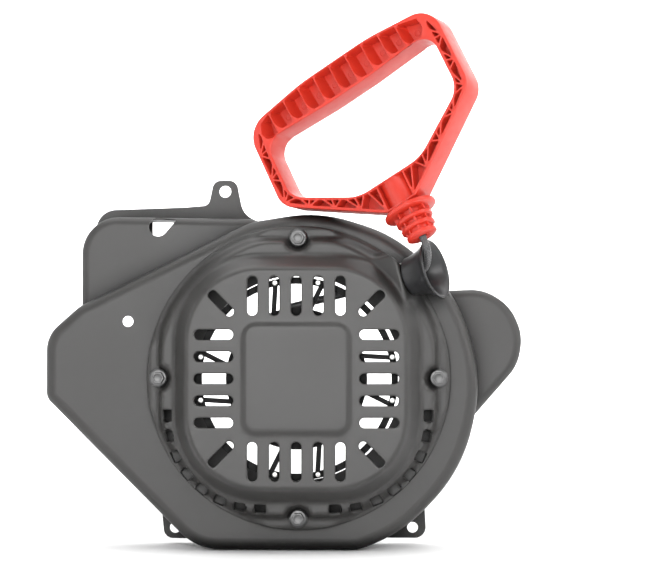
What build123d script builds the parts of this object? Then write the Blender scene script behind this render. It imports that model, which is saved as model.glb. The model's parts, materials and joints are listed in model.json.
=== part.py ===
from build123d import *
import math
import os

# Recoil (pull) starter on the fan housing of a small four-stroke engine, in millimetres.
# +Z is up and the front faces -Y. The crankshaft axis is the Y axis, and Y = 0 is the plane
# where the three brackets bolt to the engine. Heights are measured forward from that plane.

# ---- sheet metal and fits
sheet = 1.5
bracket_sheet = 2.0
running_fit = 0.05
part_gap = 0.5

# ---- fan housing
face_height = 60.0
plateau_height = 42.0
lobe_height = 40.0
face_bend = 8.0
plateau_bend = 6.0
scroll_radius = 120.8
scroll_pitch = 0.12
scroll_first = -20.0
scroll_last = 97.0
housing_bottom = -114.3
housing_left = -169.0
plateau_left = -147.6
plateau_top = 108.4
lobe_centre = (113.3, 23.9)
lobe_radius = 35.3
inlet_radius = 68.0
small_hole = (-113.5, 37.4)
small_hole_radius = 3.6
cable_hole = (-95.5, 101.2)
cable_hole_radius = 6.4
cable_clearance = 2.0

# ---- brackets
top_tab_hole = (-53.5, 127.5)
top_tab_hole_radius = 4.1
lower_left_hole = (-88.0, -104.5)
lower_right_hole = (75.8, -103.9)
lower_hole_radius = 3.7
tab_rim = 3.6

# ---- recoil cover
cover_radius = 100.5
shelf_height = 74.0
ear_height = 64.0
plate_height = 92.0
pad_rise = 1.6
plate_half = 72.0
plate_corner = 48.0
wall_run = 9.0
pad_width = 70.0
pad_depth = 72.0
pad_corner = 9.0
slot_width = 6.6
slot_length = 25.6
slot_pitch = 14.3
slot_radius = 53.8
corner_slot_length = 21.5
corner_slot_radius = 69.3
window_size = (6.5, 7.5)
window_ring_half = 86.0
window_ring_corner = 59.0
windows_per_side = 8

# ---- bolts
bolt_circle_radius = 92.5
bolt_radius = 3.0
bolt_clearance = 0.4
bolt_flange_radius = 6.3
bolt_head_radius = 4.2
nut_radius = 6.0
nut_thickness = 5.0

# ---- works inside the cover
post_radius = 9.5
post_tail_radius = 7.0
post_flange_radius = 26.0
guard_height = 86.0
guard_sheet = 2.0
guard_hub_radius = 46.0
guard_hub_bore = 38.0
guard_ring_inner = 61.6
guard_ring_outer = 66.0
guard_foot_radius = 70.0
guard_foot_angle = 58.7
reel_rear = 60.0
reel_front = 85.0
reel_radius = 45.5
reel_root_radius = 24.0
reel_rim = 3.5
groove_width = 10.6
rope_height = 72.0
rope_diameter = 5.0
winding_radius = 43.5
spring_band = 4.6
pawl_pivot_radius = 27.0
pawl_pin_radius = 3.0
pawl_thickness = 5.6
guide_radius = 21.0
guide_thickness = 2.5
screw_radius = 3.0
screw_length = 30.0

# ---- rope guide, on the line of the rope where it leaves the top of the reel
guide_base = (73.5, 66.5)
guide_elevation = 17.0
guide_forward = 24.0
cup_length = 19.0
cup_mouth_radius = 19.5
cup_base_radius = 12.5
cup_wall = 1.8
cup_neck_radius = 8.5
cup_bore_radius = 3.4
outlet_width = 36.0
outlet_depth = 25.0
outlet_reach = 46.0

# ---- pull handle, lying tilted above the rope guide
handle_nose = (82.0, -95.8, 92.0)
handle_tilt = 29.3
handle_yaw = 26.4
handle_lean = -4.4
handle_depth = 20.0
handle_half_width = 76.4
handle_crown = 134.7
handle_shoulder = 129.6
arm_thickness = 8.6
grip_thickness = 24.2
column_radius = 10.0
collar_radius = 17.6
collar_height = 19.4
ring_heights = (1.3, 6.8, 12.6)
ring_radii = (10.3, 11.5, 12.5)
ring_thickness = 2.6
handle_neck_radius = 8.2
knot_pocket_radius = 7.0
knot_pocket_floor = 28.0
knot_washer_sheet = 1.0
rope_bore_radius = 3.0


def front(height):
    """Plane facing forward: sketch x runs along +X and sketch y along +Z."""
    return Plane(origin=(0, -height, 0), x_dir=(1, 0, 0), z_dir=(0, -1, 0))


def polar(radius, degrees):
    return (radius * math.cos(math.radians(degrees)), radius * math.sin(math.radians(degrees)))


def axial_plane(origin, axis):
    """Plane for a revolved profile: sketch y runs along the axis, and x is the radius."""
    radial = axis.cross(Vector(0, 0, 1)).normalized()
    return Plane(origin=origin, x_dir=radial, z_dir=radial.cross(axis))


def turned(origin, axis, profile):
    """Solid of revolution of (radius, distance along the axis) points."""
    plane = axial_plane(origin, axis)
    with BuildPart(mode=Mode.PRIVATE) as solid:
        with BuildSketch(plane):
            with BuildLine():
                Polyline(*profile, close=True)
            make_face()
        revolve(axis=Axis(origin, axis))
    return solid.part


def ring(inner, outer, rear, fore):
    """Ring about the crank axis between two heights."""
    with BuildPart(mode=Mode.PRIVATE) as solid:
        with BuildSketch(front(rear)):
            Circle(outer)
            if inner > 0:
                Circle(inner, mode=Mode.SUBTRACT)
        extrude(amount=fore - rear)
    return solid.part


def place_part(solid, label):
    """Label a finished piece and write its STEP file."""
    solid.label = label
    export_step(solid, "parts/" + label + ".step")
    finished.append(label)


os.makedirs("parts", exist_ok=True)
finished = []
forward = Vector(0, -1, 0)
bolt_angles = (0, 90, 180, 270)


# ---- fan housing -------------------------------------------------------------------------
def scroll_reach(degrees):
    """Distance from the crank axis to the scroll, shrinking steadily from lower right to top."""
    return scroll_radius - scroll_pitch * max(degrees - scroll_first, 0)


def round_stretch(centre, reach, first, last, count):
    """Corners and radii of an outline that FilletPolyline rounds back to an arc or spiral."""
    step = (last - first) / count
    corners = []
    radii = []
    for index in range(count):
        angle = first + (index + 0.5) * step
        x, z = polar(reach(angle) / math.cos(math.radians(step / 2)), angle)
        corners.append((centre[0] + x, centre[1] + z))
        radii.append(0.86 * reach(angle))
    return corners, radii


def closed_outline(corners, radii):
    """Sketch of a closed outline with every corner rounded."""
    with BuildSketch() as outline:
        with BuildLine():
            FilletPolyline(*corners, radius=radii, close=True)
        make_face()
    return outline.sketch


def scroll_outline():
    """Outline of the raised scroll face."""
    first = -90 + math.degrees(math.acos(-housing_bottom / scroll_radius))
    corners, radii = round_stretch((0, 0), scroll_reach, first, scroll_last, 6)
    corner_x = math.sqrt(scroll_radius ** 2 - housing_bottom ** 2)
    return closed_outline(
        [(corner_x, housing_bottom), *corners]
        + [(-32.0, 103.7), (-147.0, 47.5), (housing_left, 28.0), (housing_left, -13.5)]
        + [(-68.2, housing_bottom)],
        [20, *radii, 40, 25, 22, 10, 38],
    )


def plateau_outline():
    """Outline of the lower plateau, whose right-hand part lies under the scroll."""
    return closed_outline(
        [
            (plateau_left, 42),
            (plateau_left, plateau_top),
            (-26, plateau_top - 2.0),
            (-26, 85),
            (-120, 42),
        ],
        [4, 25, 8, 8, 8],
    )


def lobe_outline():
    """Outline of the lower lobe, whose left-hand part lies under the scroll."""
    corners, radii = round_stretch(lobe_centre, lambda angle: lobe_radius, -42, 90, 4)
    return closed_outline(
        [(115.5, -27.5), *corners, (84, lobe_centre[1] + lobe_radius - 1.5), (88, -30)],
        [8, *radii, 8, 8],
    )


def pressing(inset):
    """The housing's three levels as one solid, made smaller all round by the inset."""
    levels = (
        (scroll_outline, face_height, face_bend),
        (plateau_outline, plateau_height, plateau_bend),
        (lobe_outline, lobe_height, plateau_bend),
    )
    rear = bracket_sheet if inset == 0 else bracket_sheet - 1
    with BuildPart(mode=Mode.PRIVATE) as solid:
        for outline, height, bend in levels:
            with BuildPart(mode=Mode.PRIVATE) as level:
                with BuildSketch(front(rear)):
                    add(outline())
                    if inset > 0:
                        offset(amount=-inset)
                extrude(amount=height - inset - rear)
                top = level.faces().sort_by(Axis.Y)[0]
                fillet(top.edges(), bend - inset)
            add(level.part)
    return solid.part


with BuildPart() as fan_housing:
    add(pressing(0))
    add(pressing(sheet), mode=Mode.SUBTRACT)
    with BuildSketch(front(face_height - face_bend)):
        Circle(inlet_radius)
        with Locations(small_hole):
            Circle(small_hole_radius)
        with PolarLocations(bolt_circle_radius, 4):
            Circle(bolt_radius + bolt_clearance)
    extrude(amount=2 * face_bend, mode=Mode.SUBTRACT)
    with BuildSketch(front(plateau_height - 5)):
        with Locations(cable_hole):
            Circle(cable_hole_radius)
        with BuildLine():
            Polyline(
                (cable_hole[0], cable_hole[1] + cable_hole_radius),
                (cable_hole[0] + 12.5, cable_hole[1] + 4.8),
                (cable_hole[0] + 5, cable_hole[1] - 4),
                close=True,
            )
        make_face()
    extrude(amount=10, mode=Mode.SUBTRACT)
place_part(fan_housing.part, "fan_housing")


# ---- brackets: flat plates welded across the rear edge of the housing -------------------
def bracket(points, radii, hole, hole_radius):
    with BuildPart(mode=Mode.PRIVATE) as plate:
        with BuildSketch(front(0)):
            with BuildLine():
                FilletPolyline(*points, radius=radii, close=True)
            make_face()
            with Locations(hole):
                Circle(hole_radius, mode=Mode.SUBTRACT)
        extrude(amount=bracket_sheet)
    return plate.part


with BuildPart() as top_bracket:
    tab_x, tab_z = top_tab_hole
    tab_half = top_tab_hole_radius + tab_rim
    add(bracket(
        [
            (plateau_left + 4, plateau_top - 14),
            (plateau_left + 5.5, plateau_top + 6.2),
            (tab_x - 28, plateau_top + 8.2),
            (tab_x - 11.5, plateau_top + 9.5),
            (tab_x - tab_half, tab_z + tab_half),
            (tab_x + tab_half, tab_z + tab_half),
            (tab_x + 12.5, plateau_top + 3),
            (tab_x + 31, plateau_top - 5),
            (tab_x + 31, plateau_top - 14),
        ],
        [3, 14, 8, 5, 6, 6, 14, 3, 3],
        top_tab_hole,
        top_tab_hole_radius,
    ))
    with BuildSketch(front(0)):
        with Locations((cable_hole[0] + 5, cable_hole[1])):
            Rectangle(2 * cable_hole_radius + 14, 2 * cable_hole_radius + cable_clearance)
    extrude(amount=bracket_sheet, mode=Mode.SUBTRACT)
place_part(top_bracket.part, "top_bracket")

with BuildPart() as lower_left_bracket:
    hole_x, hole_z = lower_left_hole
    add(bracket(
        [
            (hole_x - 9.5, hole_z + 15),
            (hole_x - 7.2, hole_z - 7.2),
            (hole_x + 20, hole_z - 7.6),
            (hole_x + 34, hole_z + 3),
            (hole_x + 16, hole_z + 20),
        ],
        [3, 6.5, 6, 3, 3],
        lower_left_hole,
        lower_hole_radius,
    ))
place_part(lower_left_bracket.part, "lower_left_bracket")

with BuildPart() as lower_right_bracket:
    hole_x, hole_z = lower_right_hole
    add(bracket(
        [
            (hole_x + 8.2, hole_z + 16),
            (hole_x + 9.4, hole_z - 7.2),
            (hole_x - 18, hole_z - 7.2),
            (hole_x - 32, hole_z + 3),
            (hole_x - 14, hole_z + 20),
        ],
        [3, 7.5, 6, 3, 3],
        lower_right_hole,
        lower_hole_radius,
    ))
place_part(lower_right_bracket.part, "lower_right_bracket")


# ---- recoil cover ------------------------------------------------------------------------
rope_direction = Vector(
    math.cos(math.radians(guide_forward)) * math.cos(math.radians(guide_elevation)),
    -math.sin(math.radians(guide_forward)),
    math.cos(math.radians(guide_forward)) * math.sin(math.radians(guide_elevation)),
)
guide_origin = Vector(guide_base[0], -rope_height, guide_base[1])
across = Vector(0, 1, 0).cross(rope_direction).normalized()
shelf_radius = cover_radius - 8.0
ear_inner = bolt_circle_radius - 1.5
ear_outer = cover_radius - 0.8


def frustum(rear_half, rear_corner, fore_half, fore_corner, rear, fore):
    """Rounded square that narrows from one height to the next."""
    with BuildPart(mode=Mode.PRIVATE) as solid:
        with BuildSketch(front(rear)):
            RectangleRounded(2 * rear_half, 2 * rear_half, rear_corner)
        with BuildSketch(front(fore)):
            RectangleRounded(2 * fore_half, 2 * fore_half, fore_corner)
        loft()
    return solid.part


def cone(rear_radius, fore_radius, rear, fore):
    profile = [(0, 0), (rear_radius, 0), (fore_radius, fore - rear), (0, fore - rear)]
    return turned(Vector(0, -rear, 0), forward, profile)


def ear_outline(inset, inner_edge):
    """One ear on the +X side; its long side is tangential."""
    with BuildSketch() as outline:
        with BuildLine():
            Polyline(
                (inner_edge, 33 - inset),
                (93 - inset, 33 - inset),
                (ear_outer - inset, 20 - inset),
                (ear_outer - inset, -20 + inset),
                (93 - inset, -33 + inset),
                (inner_edge, -33 + inset),
                close=True,
            )
        make_face()
        with Locations((bolt_circle_radius, 0)):
            Circle(bolt_flange_radius + 1.4 - inset)
    return outline.sketch


def rope_outlet(inset):
    """Box-shaped hump round the rope's way out, square to the rope."""
    plane = Plane(origin=guide_origin, x_dir=across, z_dir=rope_direction)
    with BuildPart(mode=Mode.PRIVATE) as solid:
        with BuildSketch(plane):
            RectangleRounded(outlet_width - 2 * inset, outlet_depth - 2 * inset, 6 - inset)
        extrude(amount=-outlet_reach)
        if inset > 0:
            with BuildSketch(plane.offset(-inset)):
                Rectangle(2 * outlet_width, 2 * outlet_depth)
            extrude(amount=2 * inset, mode=Mode.SUBTRACT)
    return solid.part


def dome(inset):
    """The cover's pressed form as one solid, made smaller all round by the inset."""
    shelf = shelf_height - inset
    ear = ear_height - inset
    plate = plate_height - inset
    with BuildPart(mode=Mode.PRIVATE) as solid:
        add(cone(cover_radius - 2 - inset, shelf_radius - inset, face_height, shelf))
        for angle in bolt_angles:
            with BuildSketch(front(ear)):
                add(ear_outline(-inset, ear_inner - inset).rotate(Axis.Z, angle))
                with Locations(Location(polar(bolt_circle_radius + 12, angle), angle)):
                    Rectangle(24, 66 + 2 * inset)
            extrude(amount=shelf - ear + 1, mode=Mode.SUBTRACT)
            with BuildSketch(front(face_height)):
                add(ear_outline(inset, ear_inner - 6).rotate(Axis.Z, angle))
            extrude(amount=ear - face_height)
        add(frustum(
            plate_half + wall_run - inset,
            plate_corner + wall_run - inset,
            plate_half - inset,
            plate_corner - inset,
            shelf - 0.01,
            plate,
        ))
        with BuildSketch(front(face_height)):
            RectangleRounded(
                2 * (plate_half + wall_run - inset),
                2 * (plate_half + wall_run - inset),
                plate_corner + wall_run - inset,
            )
        extrude(amount=shelf - face_height)
        with BuildSketch(front(plate - 0.01)):
            RectangleRounded(pad_width - 2 * inset, pad_depth - 2 * inset, pad_corner)
        extrude(amount=pad_rise, taper=30)
        add(rope_outlet(inset))
        with BuildSketch(front(0)):
            Rectangle(300, 300)
        extrude(amount=face_height, mode=Mode.SUBTRACT)
    return solid.part


def window_ring(spread):
    """The line along which the small windows are spaced."""
    half = window_ring_half
    corner = window_ring_corner
    straight = half - corner
    arc = math.pi / 2 * corner
    if spread < straight:
        return (-half, -spread), 0
    if spread < straight + arc:
        turn = (spread - straight) / corner
        centre = -half + corner
        return (centre - corner * math.cos(turn), centre - corner * math.sin(turn)), math.degrees(turn)
    return (-straight + spread - straight - arc, -half), 90


with BuildPart() as recoil_cover:
    with BuildSketch(front(face_height)):
        Circle(cover_radius)
    extrude(amount=sheet)
    add(dome(0))
    add(dome(sheet), mode=Mode.SUBTRACT)
    with BuildSketch(front(plate_height - 4)):
        for side in bolt_angles:
            for row in (-2, -1, 0, 1, 2):
                centre = Vector(slot_radius, row * slot_pitch).rotate(Axis.Z, side)
                with Locations(Location((centre.X, centre.Y), side)):
                    SlotOverall(slot_length, slot_width)
            with Locations(Location(polar(corner_slot_radius, side + 45), side + 45)):
                SlotOverall(corner_slot_length, slot_width - 0.6)
    extrude(amount=8, mode=Mode.SUBTRACT)
    first = 24.5
    last = 2 * (window_ring_half - window_ring_corner) + math.pi / 2 * window_ring_corner - first
    with BuildSketch(front(shelf_height - 6)):
        for index in range(windows_per_side):
            spread = first + (last - first) * index / (windows_per_side - 1)
            (x, z), turn = window_ring(spread)
            for mirror_x in (1, -1):
                with Locations(Location((mirror_x * x, z), mirror_x * turn)):
                    Rectangle(*window_size)
    extrude(amount=9, mode=Mode.SUBTRACT)
    with BuildSketch(front(face_height - 1)):
        with PolarLocations(bolt_circle_radius, 4):
            Circle(bolt_radius + bolt_clearance)
    extrude(amount=10, mode=Mode.SUBTRACT)
    add(turned(
        guide_origin - rope_direction * 6,
        rope_direction,
        [(0, 0), (cup_neck_radius + running_fit, 0), (cup_neck_radius + running_fit, 12), (0, 12)],
    ), mode=Mode.SUBTRACT)
place_part(recoil_cover.part, "recoil_cover")


# ---- four flange bolts and the nuts welded behind the housing's face ---------------------
with BuildPart() as cover_bolts:
    nut_rear = face_height - sheet - nut_thickness
    for angle in bolt_angles:
        x, z = polar(bolt_circle_radius, angle)
        with BuildPart(mode=Mode.PRIVATE) as bolt:
            add(turned(Vector(x, -nut_rear + 2, z), forward, [
                (0, 0),
                (bolt_radius, 0),
                (bolt_radius, ear_height - nut_rear + 2),
                (bolt_flange_radius, ear_height - nut_rear + 2),
                (bolt_flange_radius, ear_height - nut_rear + 3.2),
                (bolt_head_radius + 0.8, ear_height - nut_rear + 4),
                (0, ear_height - nut_rear + 4),
            ]))
            with BuildSketch(Plane(origin=(x, -ear_height - 2, z), x_dir=(1, 0, 0), z_dir=(0, -1, 0))):
                RegularPolygon(bolt_head_radius, 6)
            extrude(amount=4.6)
            with BuildSketch(Plane(origin=(x, -ear_height - 7, z), x_dir=(1, 0, 0), z_dir=(0, -1, 0))):
                Circle(bolt_head_radius - 1.6)
            extrude(amount=-1.6, mode=Mode.SUBTRACT)
        add(bolt.part)
place_part(cover_bolts.part, "cover_bolts")

with BuildPart() as cover_weld_nuts:
    with BuildSketch(front(nut_rear)):
        with PolarLocations(bolt_circle_radius, 4):
            RegularPolygon(nut_radius, 6)
            Circle(bolt_radius, mode=Mode.SUBTRACT)
    extrude(amount=nut_thickness)
place_part(cover_weld_nuts.part, "cover_weld_nuts")


# ---- inner guard: hub disc, slanted struts and outer ring on four feet -------------------
with BuildPart() as inner_guard:
    with BuildSketch(front(guard_height)):
        Circle(guard_ring_outer)
        Circle(guard_ring_inner, mode=Mode.SUBTRACT)
        Circle(guard_hub_radius)
        Circle(guard_hub_bore, mode=Mode.SUBTRACT)
        for side in bolt_angles:
            for inner_angle, outer_angle in ((109.3, 102.7), (79.3, 74.8)):
                inner_point = Vector(*polar(guard_hub_radius - 1, inner_angle + side))
                outer_point = Vector(*polar(guard_ring_inner + 1, outer_angle + side))
                strut = outer_point - inner_point
                middle = (outer_point + inner_point) / 2
                turn = math.degrees(math.atan2(strut.Y, strut.X))
                with Locations(Location((middle.X, middle.Y), turn)):
                    Rectangle(strut.length, 3.2)
            foot_middle = polar((guard_ring_outer + guard_foot_radius) / 2, guard_foot_angle + side)
            with Locations(Location(foot_middle,
                                    guard_foot_angle + side)):
                Rectangle(guard_foot_radius - guard_ring_outer + 1, 5)
            with Locations(polar(guard_foot_radius, guard_foot_angle + side)):
                Circle(2.5)
    extrude(amount=guard_sheet)
    with BuildSketch(front(guard_height)):
        for side in bolt_angles:
            with Locations(polar(guard_foot_radius, guard_foot_angle + side)):
                Circle(2.5)
    extrude(amount=plate_height - sheet - guard_height)
place_part(inner_guard.part, "inner_guard")

with BuildPart() as guard_rivets:
    rivet_radius = (guard_ring_inner + guard_ring_outer) / 2
    for side in bolt_angles:
        for angle in (102.7, 77.3):
            x, z = polar(rivet_radius, angle + side)
            add(turned(Vector(x, -guard_height - guard_sheet, z), forward, [
                (0, 0),
                (1.9, 0),
                (1.4, 0.9),
                (0, 1.1),
            ]))
place_part(guard_rivets.part, "guard_rivets")


# ---- post welded to the cover, with the screw that closes it -----------------------------
post_face = plate_height - sheet
guide_rear = reel_rear - pawl_thickness - 0.4 - part_gap - guide_thickness
washer_front = guide_rear - part_gap
washer_thickness = 1.6

with BuildPart() as reel_post:
    add(turned(Vector(0, -washer_front, 0), forward, [
        (screw_radius, 0),
        (post_tail_radius, 0),
        (post_tail_radius, reel_rear - part_gap - washer_front),
        (post_radius, reel_rear - part_gap - washer_front),
        (post_radius, post_face - 2 - washer_front),
        (post_flange_radius, post_face - 2 - washer_front),
        (post_flange_radius, post_face - washer_front),
        (0, post_face - washer_front),
        (0, screw_length),
        (screw_radius, screw_length),
    ]))
place_part(reel_post.part, "reel_post")

with BuildPart() as screw_washer:
    add(ring(screw_radius + bolt_clearance, 11.5, washer_front - washer_thickness, washer_front))
place_part(screw_washer.part, "screw_washer")

with BuildPart() as centre_screw:
    add(turned(Vector(0, -washer_front + washer_thickness, 0), forward, [
        (0, 0),
        (screw_radius, 0),
        (screw_radius, screw_length),
        (0, screw_length),
    ]))
    with BuildSketch(front(washer_front - washer_thickness - 4)):
        RegularPolygon(5.8, 6)
    extrude(amount=4)
place_part(centre_screw.part, "centre_screw")


# ---- reel ---------------------------------------------------------------------------------
groove_rear = rope_height - groove_width / 2
groove_front = rope_height + groove_width / 2
spring_floor = groove_front + 2.0
knot_place = (16.4, 0)
knot_radius = 3.4

with BuildPart() as starter_reel:
    add(turned(Vector(0, -reel_rear, 0), forward, [
        (post_radius + running_fit, 0),
        (reel_radius, 0),
        (reel_radius, 3),
        (reel_radius - 1, groove_rear - reel_rear),
        (reel_root_radius, groove_rear - reel_rear),
        (reel_root_radius, groove_front - reel_rear),
        (reel_radius - 1, groove_front - reel_rear),
        (reel_radius, spring_floor - reel_rear),
        (reel_radius, reel_front - reel_rear),
        (reel_radius - reel_rim, reel_front - reel_rear),
        (reel_radius - reel_rim, spring_floor - reel_rear),
        (post_radius + 3, spring_floor - reel_rear),
        (post_radius + 3, reel_front - reel_rear - 2),
        (post_radius + running_fit, reel_front - reel_rear - 2),
    ]))
    with BuildSketch(front(reel_rear)):
        with Locations(knot_place):
            Circle(knot_radius + part_gap)
    extrude(amount=10, mode=Mode.SUBTRACT)
    with BuildSketch(front(reel_rear - pawl_thickness - 0.4)):
        with PolarLocations(pawl_pivot_radius, 2):
            Circle(pawl_pin_radius)
    extrude(amount=pawl_thickness + 0.4)
place_part(starter_reel.part, "starter_reel")

with BuildPart() as reel_knot:
    with Locations((knot_place[0], -reel_rear - 5, knot_place[1])):
        Sphere(knot_radius)
place_part(reel_knot.part, "reel_knot")

with BuildPart() as rope_winding:
    add(ring(reel_root_radius, winding_radius, rope_height - 5, rope_height + 5))
place_part(rope_winding.part, "rope_winding")

with BuildPart() as recoil_spring:
    with BuildSketch(front(spring_floor)):
        for turn in range(6):
            outer = reel_radius - reel_rim - 0.6 - turn * 3.6
            Circle(outer)
            Circle(outer - 1.6, mode=Mode.SUBTRACT)
        with Locations((reel_radius - reel_rim - 10.4, 0)):
            Rectangle(19.4, 1.6)
    extrude(amount=spring_band)
place_part(recoil_spring.part, "recoil_spring")

with BuildPart() as spring_cover:
    cover_rear = spring_floor + spring_band + 0.1
    add(ring(post_radius + 4, reel_radius - reel_rim, cover_rear, reel_front + 0.2))
place_part(spring_cover.part, "spring_cover")


# ---- pawls and their guide on the rear of the reel ---------------------------------------
with BuildPart() as pawl_a:
    with BuildSketch(front(reel_rear - pawl_thickness - 0.2)):
        with BuildLine():
            Polyline(
                (pawl_pivot_radius - 5.4, 1.5),
                (pawl_pivot_radius + 5.4, 1.5),
                (pawl_pivot_radius + 3.6, -14),
                (pawl_pivot_radius - 1.5, -24),
                (pawl_pivot_radius - 6.5, -22),
                (pawl_pivot_radius - 4.2, -12),
                close=True,
            )
        make_face()
        with Locations((pawl_pivot_radius, 0)):
            Circle(5.6)
            Circle(pawl_pin_radius + running_fit, mode=Mode.SUBTRACT)
    extrude(amount=pawl_thickness)
place_part(pawl_a.part, "pawl_a")

with BuildPart() as pawl_b:
    add(pawl_a.part.rotate(Axis.Y, 180))
place_part(pawl_b.part, "pawl_b")

with BuildPart() as ratchet_guide:
    with BuildSketch(front(guide_rear)):
        Circle(guide_radius)
        for angle in (60, 240):
            with Locations(Location(polar(guide_radius, angle), angle)):
                RectangleRounded(24, 16, 4)
        Circle(post_tail_radius + running_fit, mode=Mode.SUBTRACT)
        with PolarLocations(14.5, 3):
            Circle(2.5, mode=Mode.SUBTRACT)
    extrude(amount=guide_thickness)
place_part(ratchet_guide.part, "ratchet_guide")

with BuildPart() as friction_spring:
    add(ring(post_tail_radius + part_gap, post_tail_radius + 3, guide_rear + guide_thickness,
             reel_rear - part_gap * 2))
place_part(friction_spring.part, "friction_spring")


# ---- rope guide cup and its retaining ring -----------------------------------------------
with BuildPart() as rope_guide_cup:
    bell = cup_mouth_radius - cup_base_radius
    add(turned(guide_origin, rope_direction, [
        (cup_bore_radius, -7),
        (cup_neck_radius, -7),
        (cup_neck_radius, 0),
        (cup_base_radius, 0),
        (cup_base_radius + 0.10 * bell, 0.3 * cup_length),
        (cup_base_radius + 0.38 * bell, 0.65 * cup_length),
        (cup_mouth_radius, cup_length),
        (cup_mouth_radius - cup_wall, cup_length),
        (cup_base_radius + 0.38 * bell - cup_wall, 0.65 * cup_length + 0.8),
        (cup_base_radius + 0.10 * bell - cup_wall, 0.3 * cup_length + 1),
        (cup_bore_radius + 2.5, 2.5),
        (cup_bore_radius, 0),
    ]))
place_part(rope_guide_cup.part, "rope_guide_cup")

with BuildPart() as rope_guide_retainer:
    add(turned(guide_origin - rope_direction * (sheet + 2), rope_direction, [
        (cup_neck_radius, 0),
        (cup_neck_radius + 2.0, 0),
        (cup_neck_radius + 2.0, 2),
        (cup_neck_radius, 2),
    ]))
place_part(rope_guide_retainer.part, "rope_guide_retainer")


# ---- pull handle --------------------------------------------------------------------------
def handle_vector(x, z):
    """Direction in the handle's own plane, tilted, leaned and yawed into the row frame."""
    tilt, yaw, lean = (math.radians(a) for a in (handle_tilt, handle_yaw, handle_lean))
    flat_x = x * math.cos(tilt) - z * math.sin(tilt)
    flat_z = x * math.sin(tilt) + z * math.cos(tilt)
    y = -flat_z * math.sin(lean)
    up = flat_z * math.cos(lean)
    return Vector(
        flat_x * math.cos(yaw) + y * math.sin(yaw),
        -flat_x * math.sin(yaw) + y * math.cos(yaw),
        up,
    )


handle_across = handle_vector(1, 0)
handle_axis = handle_vector(0, 1)
handle_origin = Vector(*handle_nose)
handle_plane = Plane(
    origin=handle_origin,
    x_dir=handle_across,
    z_dir=handle_across.cross(handle_axis),
)


def handle_loop(half, radii):
    """Half outline, mirrored, of the handle's outside or of its finger opening."""
    left = [(-x, y) for x, y in reversed(half)]
    with BuildSketch() as outline:
        with BuildLine():
            FilletPolyline(*half, *left, radius=radii + radii[::-1], close=True)
        make_face()
    return outline.sketch


with BuildPart() as pull_handle:
    inner_x = handle_half_width - arm_thickness
    with BuildSketch(handle_plane):
        add(handle_loop([
            (11.5, 23.2),
            (handle_half_width + 0.6, 67.2),
            (handle_half_width + 0.4, handle_shoulder - 1.6),
            (28, handle_crown - 0.6),
        ], [1, 15, 17, 150]))
        add(handle_loop([
            (25, 43.4),
            (inner_x + 0.4, 69.3),
            (inner_x + 0.4, handle_crown - grip_thickness + 2.6),
            (16, handle_crown - grip_thickness),
        ], [30, 16, 12, 150]), mode=Mode.SUBTRACT)
    extrude(amount=handle_depth / 2, both=True)
    profile = [(0, 0)]
    for height, radius in zip(ring_heights, ring_radii):
        low = height - ring_thickness / 2
        if low > 0.01:
            profile.append((handle_neck_radius, low))
        profile += [
            (radius, low),
            (radius, height + ring_thickness / 2),
            (handle_neck_radius, height + ring_thickness / 2),
        ]
    profile += [
        (handle_neck_radius, collar_height - 1.5),
        (collar_radius, collar_height - 1.5),
        (collar_radius, collar_height + 1.5),
        (column_radius, collar_height + 1.5),
        (column_radius, 43.4),
        (0, 43.4),
    ]
    add(turned(handle_origin, handle_axis, profile))
    add(turned(handle_origin, handle_axis, [
        (0, -1),
        (rope_bore_radius, -1),
        (rope_bore_radius, knot_pocket_floor),
        (knot_pocket_radius, knot_pocket_floor),
        (knot_pocket_radius, 60),
        (0, 60),
    ]), mode=Mode.SUBTRACT)
place_part(pull_handle.part, "pull_handle")

with BuildPart() as knot_washer:
    add(turned(handle_origin + handle_axis * knot_pocket_floor, handle_axis, [
        (rope_bore_radius, 0),
        (knot_pocket_radius - part_gap, 0),
        (knot_pocket_radius - part_gap, knot_washer_sheet),
        (rope_bore_radius, knot_washer_sheet),
    ]))
place_part(knot_washer.part, "knot_washer")

with BuildPart() as handle_knot:
    knot_base = knot_pocket_floor + knot_washer_sheet
    add(turned(handle_origin + handle_axis * knot_base, handle_axis, [
        (0, 0),
        (3.4, 0),
        (5.2, 2.4),
        (5.4, 6),
        (3.6, 9.6),
        (0, 10.6),
    ]))
place_part(handle_knot.part, "handle_knot")


# ---- rope: the run from the reel, and the lead from the guide into the handle -------------
rope_radius = rope_diameter / 2
leave_radius = winding_radius + rope_radius + part_gap
guide_bearing = math.degrees(math.atan2(guide_base[1], guide_base[0]))
guide_distance = math.hypot(*guide_base)
leave_angle = guide_bearing + math.degrees(math.acos(leave_radius / guide_distance))
leave_x, leave_z = polar(leave_radius, leave_angle)
run_start = Vector(leave_x, -rope_height, leave_z)
run_end = guide_origin - rope_direction * 9
run_direction = (run_end - run_start).normalized()

with BuildPart() as rope_inner_run:
    add(turned(run_start, run_direction, [
        (0, 0),
        (rope_radius, 0),
        (rope_radius, (run_end - run_start).length),
        (0, (run_end - run_start).length),
    ]))
place_part(rope_inner_run.part, "rope_inner_run")

lead_end = handle_origin + handle_axis * (knot_base - 0.4)
lead_points = [
    run_end + rope_direction * 1.6,
    guide_origin + rope_direction * 5,
    (84.3, -81.5, 72.3),
    (85.5, -89.3, 80.0),
    handle_origin - handle_axis * 4,
    lead_end,
]
lead_points = [Vector(point) for point in lead_points]


def corner_radii(points):
    """The largest arc that each corner's two runs allow, printed for checking."""
    radii = []
    for before, point, after in zip(points, points[1:], points[2:]):
        turn = (point - before).get_angle(after - point)
        shorter = min((point - before).length, (after - point).length)
        radii.append(0.45 * shorter / math.tan(math.radians(turn / 2)))
    return radii


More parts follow.
